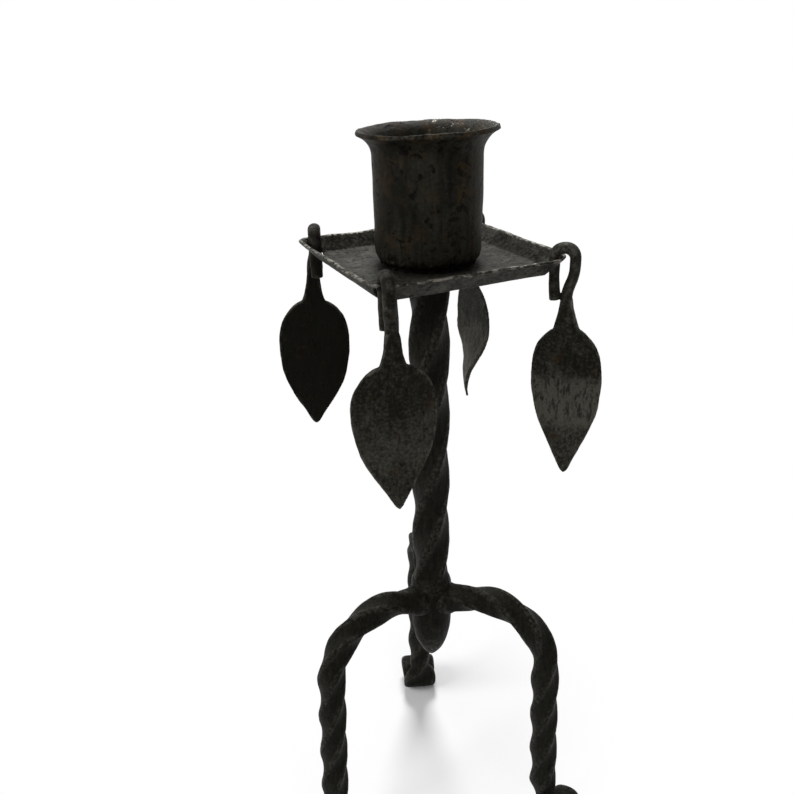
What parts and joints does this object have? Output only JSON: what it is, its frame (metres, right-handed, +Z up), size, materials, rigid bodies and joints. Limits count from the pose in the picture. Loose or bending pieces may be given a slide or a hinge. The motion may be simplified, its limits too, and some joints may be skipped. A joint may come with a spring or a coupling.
{
  "type": "pricket candle stand",
  "caption": "Forged iron candle stand with twisted legs ending in scroll feet, a twisted stem, a square drip tray hung with leaf pendants and a flared candle cup.",
  "frame": {"origin": "on the stem's axis, at the surface that the feet stand on", "axes": "+Z up along the stem, +Y towards the back leg, +X to the right as the stand is seen from its front"},
  "size_m": [0.1238, 0.1147, 0.2889],
  "materials": {
    "forged_bar": "satin black forge scale, worn at the corners",
    "tray_sheet": "mottled dark grey sheet with a bright worn rim",
    "cup_sheet": "satin black with brown wear at the lip",
    "beaten_leaf": "satin dark grey with a fine grain"
  },
  "bodies": {
    "stand": {"stem": "forged_bar", "drip_tray": "tray_sheet", "candle_cup": "cup_sheet", "leg_back": "forged_bar", "leg_front_left": "forged_bar", "leg_front_right": "forged_bar"},
    "leaf_front": {"leaf_front": "beaten_leaf"},
    "leaf_right": {"leaf_right": "beaten_leaf"},
    "leaf_back": {"leaf_back": "beaten_leaf"},
    "leaf_left": {"leaf_left": "beaten_leaf"}
  },
  "joints": [
    {"name": "leaf_front_swing", "type": "hinge", "parent": "stand", "child": "leaf_front", "pos_m": [-0.01727, -0.04212, 0.24917], "axis": [-0.9921, -0.1253, 0], "range_deg": [-8, 50]},
    {"name": "leaf_right_swing", "type": "hinge", "parent": "stand", "child": "leaf_right", "pos_m": [0.04163, -0.01923, 0.24939], "axis": [-0.4195, -0.9078, 0], "range_deg": [-8, 50]},
    {"name": "leaf_back_swing", "type": "hinge", "parent": "stand", "child": "leaf_back", "pos_m": [0.02147, 0.03977, 0.24894], "axis": [0.3453, -0.9385, 0], "range_deg": [-8, 50]},
    {"name": "leaf_left_swing", "type": "hinge", "parent": "stand", "child": "leaf_left", "pos_m": [-0.03849, 0.02233, 0.24827], "axis": [0.9998, 0.0209, 0], "range_deg": [-8, 50]}
  ]
}
